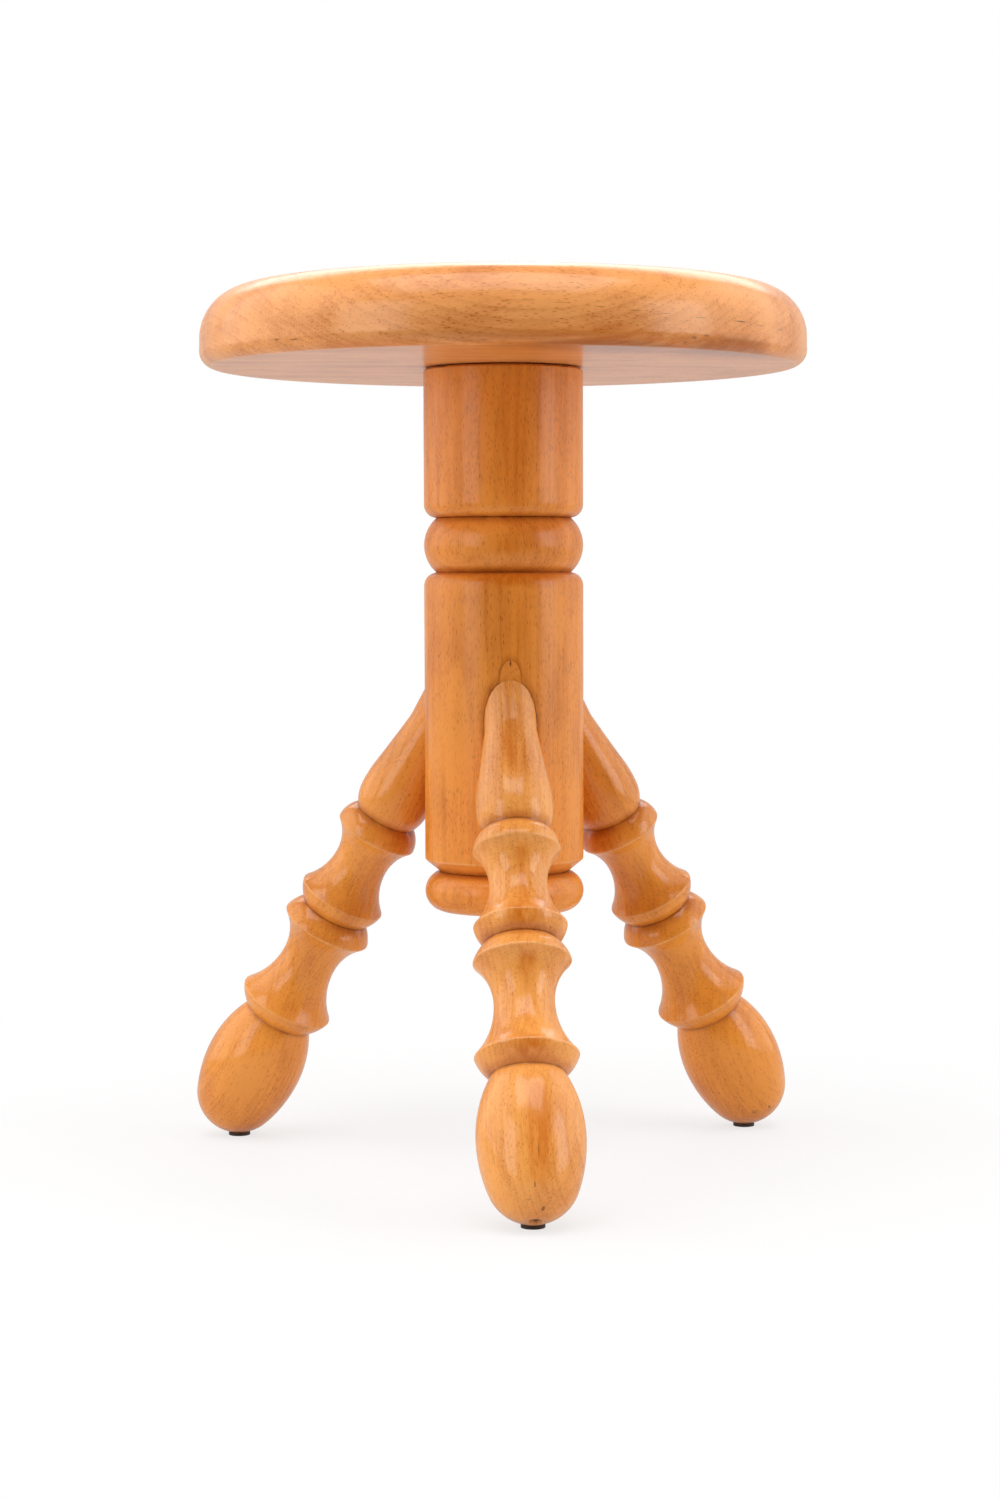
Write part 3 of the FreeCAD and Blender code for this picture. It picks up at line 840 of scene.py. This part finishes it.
# Seat: three beech boards glued edge to edge and turned to a disc, with a large round on the upper
# edge and a small one on the lower. The grain runs from side to side. The column's spigot is glued
# into a blind hole in its middle.
seat_boards = ["seat_board_front", "seat_board_middle", "seat_board_rear"]
board_boxes = [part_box(name) for name in seat_boards]
seat_radius = (board_boxes[2][1].y - board_boxes[0][0].y) / 2 / MM
seat_top = board_boxes[0][1].z / MM
seat_lower_round_width = 5.7
seat_lower_round_height = 9.0
seat_upper_round = 26.0
spigot_hole_radius = spigot_radius + fit_clearance
seat_rim = (seat_radius - seat_lower_round_width, seat_underside)
lower_bend = (seat_radius - seat_lower_round_width * (1 - bend),
              seat_underside + seat_lower_round_height * (1 - bend))
seat_widest = (seat_radius, seat_underside + seat_lower_round_height)
round_start = (seat_radius, seat_top - seat_upper_round)
upper_bend = (seat_radius - seat_upper_round * (1 - bend), seat_top - seat_upper_round * (1 - bend))
round_end = (seat_radius - seat_upper_round, seat_top)
seat_joint = (column_radius, seat_underside)
seat_outline = lathe_outline([
    straight((0, spigot_top), (spigot_hole_radius, spigot_top)),
    straight((spigot_hole_radius, spigot_top), (spigot_hole_radius, seat_underside)),
    straight((spigot_hole_radius, seat_underside), seat_rim),
    rounded(seat_rim, lower_bend, seat_widest),
    straight(seat_widest, round_start),
    rounded(round_start, upper_bend, round_end),
    straight(round_end, (0, seat_top)),
], [seat_rim], [seat_joint])
disc = turned("seat_disc", seat_outline, 256, wobble=0.2, wobble_size=60.0, seed=9.0)
disc.data.transform(Matrix.Translation(axis_place))

# Marks of use on the seat's rim, at their places round the column's axis: a dotted line that rises to
# the front, two broad dark bands low on the front and the right, a row of small stains, a few knocks.
rim_radius = seat_radius - 0.5
seat_marks = [
    round_mark(-0.5, rim_radius, 430.4, 7.0, 0.6, 0.35),
    round_mark(5.2, rim_radius, 429.1, 9.0, 0.6, 0.4),
    round_mark(12.3, rim_radius, 427.5, 7.0, 0.6, 0.5),
    round_mark(18.7, rim_radius, 426.2, 8.0, 0.6, 0.5),
    round_mark(24.6, rim_radius, 425.4, 7.0, 0.6, 0.55),
    round_mark(32.2, rim_radius, 424.4, 9.0, 0.6, 0.6),
    round_mark(42.2, rim_radius, 424.1, 11.0, 0.9, 0.8),
    round_mark(48.4, rim_radius, 423.2, 8.0, 0.6, 0.6),
    round_mark(56.0, rim_radius, 422.7, 9.0, 0.6, 0.5),
    round_mark(16.0, rim_radius, 408.0, 140.0, 14.0, 0.36),
    round_mark(42.0, rim_radius, 410.0, 90.0, 18.0, 0.34),
    round_mark(28.4, rim_radius, 410.8, 3.4, 1.6, 0.5),
    round_mark(29.3, rim_radius, 412.5, 4.4, 1.5, 0.55),
    round_mark(30.9, rim_radius, 414.9, 4.8, 1.7, 0.55),
    round_mark(33.6, rim_radius, 416.2, 5.0, 1.6, 0.45),
    round_mark(-48.6, rim_radius, 415.8, 5.0, 1.2, 0.6),
    round_mark(-44.2, rim_radius, 415.1, 7.5, 1.2, 0.6),
    round_mark(-77.0, rim_radius - 3.0, 444.9, 4.0, 1.0, 0.35),
    round_mark(-63.7, rim_radius, 435.7, 5.0, 0.9, 0.35),
    round_mark(-59.8, rim_radius, 429.0, 3.5, 0.9, 0.35),
    round_mark(62.0, rim_radius, 430.6, 1.6, 4.0, 0.7),
]
seat_stains = [
    round_mark(12.0, rim_radius, 410.0, 190.0, 24.0, 1.0),
    round_mark(40.0, rim_radius, 411.0, 150.0, 26.0, 0.9),
    round_mark(-28.0, rim_radius, 410.0, 110.0, 14.0, 0.7),
]

# Each board: where its heart lay, seen along the grain, and its pale and deep tones. Dirt and painted
# shade round the joint with the column stay narrow, as at the mortises' mouths.
seat_joint_narrowing = 2
boards = {
    "seat_board_front": ((-30.0, -95.0, 0.0), (0.86, 0.355, 0.105), (0.42, 0.085, 0.003)),
    "seat_board_middle": ((18.0, 110.0, 0.0), (0.85, 0.343, 0.098), (0.41, 0.082, 0.003)),
    "seat_board_rear": ((70.0, -80.0, 0.0), (0.85, 0.348, 0.102), (0.41, 0.083, 0.003)),
}
grain_to_side = Matrix(((0, 0, 1, 0), (1, 0, 0, 0), (0, 1, 0, 0), (0, 0, 0, 1)))
for (name, (heart, pale, deep)), (low, high) in zip(boards.items(), board_boxes):
    place = Matrix.Translation(axis_place + Vector((0, 0, seat_underside * MM))) @ grain_to_side
    wood = wood_finish("seat_beech_" + name.split("_")[-1], place, heart, pale, deep, gloss=(0.65, 0.2),
                       grime_and_shade=0.4, marks=seat_marks, stains_and_shade=seat_stains, marks_place=column_place)
    board = put_in_scene("turned_" + name, disc.data.copy())
    work = bmesh.new()
    work.from_mesh(board.data)
    for edge_y, outward in ((low.y, -1), (high.y, 1)):
        everything = work.verts[:] + work.edges[:] + work.faces[:]
        cut = bmesh.ops.bisect_plane(work, geom=everything, dist=0.001 * MM, plane_co=(0, edge_y, 0),
                                     plane_no=(0, outward, 0), clear_outer=True)["geom_cut"]
        rim = [item for item in cut if isinstance(item, bmesh.types.BMEdge)]
        bmesh.ops.triangle_fill(work, edges=rim, use_beauty=True)
    bmesh.ops.recalc_face_normals(work, faces=work.faces)
    work.to_mesh(board.data)
    work.free()
    board.data.materials.clear()
    board.data.materials.append(wood)
    board.data.set_sharp_from_angle(angle=sharp_angle)
    seat_points = lathe_points(board.data, column_place.inverted())
    note_distance(board.data, "edge_distance", nearest(seat_points, [seat_rim]))
    joint_gap = nearest(seat_points, [seat_joint]) * seat_joint_narrowing
    note_distance(board.data, "groove_distance", joint_gap)
    hand_in(board, name)
bpy.data.objects.remove(disc)


# Floor and backdrop: one plain white studio sweep. It looks white to the camera and a little darker in
# the lacquer's reflections, and takes a soft shadow near the stool.
camera_brightness = 1.0
reflected_brightness = 0.65
matt_white = (0.75, 0.75, 0.75, 1)
shadow_inner, shadow_outer = 0.3, 0.6
even_white_near = 0.72


def sweep_finish():
    """Matt white for light that bounces, mixed with an even white for all that the camera sees."""
    material, tree = blank_material("studio_white")
    light_path = add(tree, "ShaderNodeLightPath").outputs
    seen = figure(tree, "MAXIMUM", light_path["Is Camera Ray"], light_path["Is Glossy Ray"])
    seen = figure(tree, "MAXIMUM", seen, light_path["Is Transmission Ray"])
    matt = add(tree, "ShaderNodeBsdfDiffuse", {"Color": matt_white})
    brightness = figure(tree, "MULTIPLY_ADD", light_path["Is Camera Ray"],
                        camera_brightness - reflected_brightness, reflected_brightness)
    white = add(tree, "ShaderNodeEmission", {"Color": (1, 1, 1, 1), "Strength": brightness})
    place = add(tree, "ShaderNodeTexCoord").outputs["Object"]
    afar = add(tree, "ShaderNodeMapRange", {
        "Value": vector_figure(tree, "LENGTH", place), "From Min": shadow_inner,
        "From Max": shadow_outer, "To Min": even_white_near, "To Max": 1.0}).outputs[0]
    share = figure(tree, "MULTIPLY", seen, afar)
    shown = add(tree, "ShaderNodeMixShader", {0: share, 1: matt.outputs[0], 2: white.outputs[0]})
    add(tree, "ShaderNodeOutputMaterial", {"Surface": shown.outputs[0]})
    return material


sweep_front, sweep_back, sweep_half_width, sweep_round, sweep_top = -0.62, 2.6, 3.2, 0.7, 2.6
sweep_steps = 16
sweep_line = [(sweep_front, 0.0)]
for i in range(sweep_steps + 1):
    angle = math.pi / 2 * i / sweep_steps
    depth = sweep_back - sweep_round * (1 - math.sin(angle))
    sweep_line.append((depth, sweep_round * (1 - math.cos(angle))))
sweep_line.append((sweep_back, sweep_top))
sweep_places = [(x, y, z) for y, z in sweep_line for x in (-sweep_half_width, sweep_half_width)]
sweep_faces = [(2 * i, 2 * i + 1, 2 * i + 3, 2 * i + 2) for i in range(len(sweep_line) - 1)]
sweep_mesh = bpy.data.meshes.new("studio_sweep")
sweep_mesh.from_pydata(sweep_places, [], sweep_faces)
sweep_mesh.materials.append(sweep_finish())
sweep = put_in_scene("studio_sweep", sweep_mesh)


# Camera: at the photograph's place, a little to the left of the front leg and low enough to see the
# seat's underside. Lights: a wide panel at either side, two softboxes in front with a darker gap between
# them, a large soft light overhead and two weak ones behind that brighten the seat's upper edge.
camera_place = Vector((-120.8, -1479.5, 302.5)) * MM
camera_forward = Vector((0.07905, 0.99511, -0.05925))
camera_right = Vector((0.99684, -0.07935, -0.00270))
focal_pixels = 2901.6
picture_height = 1500
camera_data = bpy.data.cameras.new("camera")
camera_data.sensor_width = 36.0
camera_data.lens = focal_pixels / picture_height * camera_data.sensor_width
camera_data.clip_start = 0.05
camera = put_in_scene("camera", camera_data)
camera_up = camera_right.cross(camera_forward)
turn_to_view = Matrix((camera_right, camera_up, -camera_forward)).transposed().to_4x4()
camera.matrix_world = Matrix.Translation(camera_place) @ turn_to_view
bpy.context.scene.camera = camera

aim_height = 0.24
aim = axis_place + Vector((0, 0, aim_height))
camera_azimuth = math.degrees(math.atan2(camera_place.x - aim.x, aim.y - camera_place.y))


def soft_light(name, azimuth, elevation, distance, width, height, power):
    """A softbox aimed at the stool, placed by its angles from the camera's side and the floor."""
    turn, rise = math.radians(camera_azimuth + azimuth), math.radians(elevation)
    away = Vector((math.sin(turn) * math.cos(rise), -math.cos(turn) * math.cos(rise), math.sin(rise)))
    data = bpy.data.lights.new(name, "AREA")
    data.shape = "RECTANGLE"
    data.size, data.size_y, data.energy = width, height, power
    facing = away.to_track_quat("Z", "Y").to_matrix().to_4x4()
    lamp = put_in_scene(name, data)
    lamp.matrix_world = Matrix.Translation(aim + away * distance) @ facing
    lamp.visible_camera = False


soft_light("left_panel", -96.0, 26.0, 1.7, 1.8, 1.8, 16.5)
soft_light("right_panel", 100.0, 23.0, 1.7, 1.8, 1.8, 13.5)
soft_light("left_softbox", -48.0, 16.0, 1.9, 0.9, 1.3, 11.5)
soft_light("right_softbox", 66.0, 16.0, 1.9, 0.8, 1.3, 12.0)
soft_light("front_overhead", -6.0, 76.0, 1.9, 1.9, 1.4, 32.0)
soft_light("rear_left_softbox", -165.0, 42.0, 1.9, 1.0, 0.8, 6.5)
soft_light("rear_right_softbox", 162.0, 42.0, 1.9, 1.0, 0.8, 6.5)

world = bpy.data.worlds.new("studio")
world.use_nodes = True
world_tree = world.node_tree
world_tree.nodes.clear()
world_glow = 0.07
world_rays = add(world_tree, "ShaderNodeLightPath").outputs
world_light = add(world_tree, "ShaderNodeBackground", {"Color": (1, 1, 1, 1), "Strength": world_glow})
world_white = add(world_tree, "ShaderNodeBackground", {"Color": (1, 1, 1, 1), "Strength": 1.0})
world_shown = add(world_tree, "ShaderNodeMixShader", {
    0: world_rays["Is Camera Ray"], 1: world_light.outputs[0], 2: world_white.outputs[0]})
add(world_tree, "ShaderNodeOutputWorld", {"Surface": world_shown.outputs[0]})
bpy.context.scene.world = world
bpy.context.scene.view_settings.view_transform = "Standard"
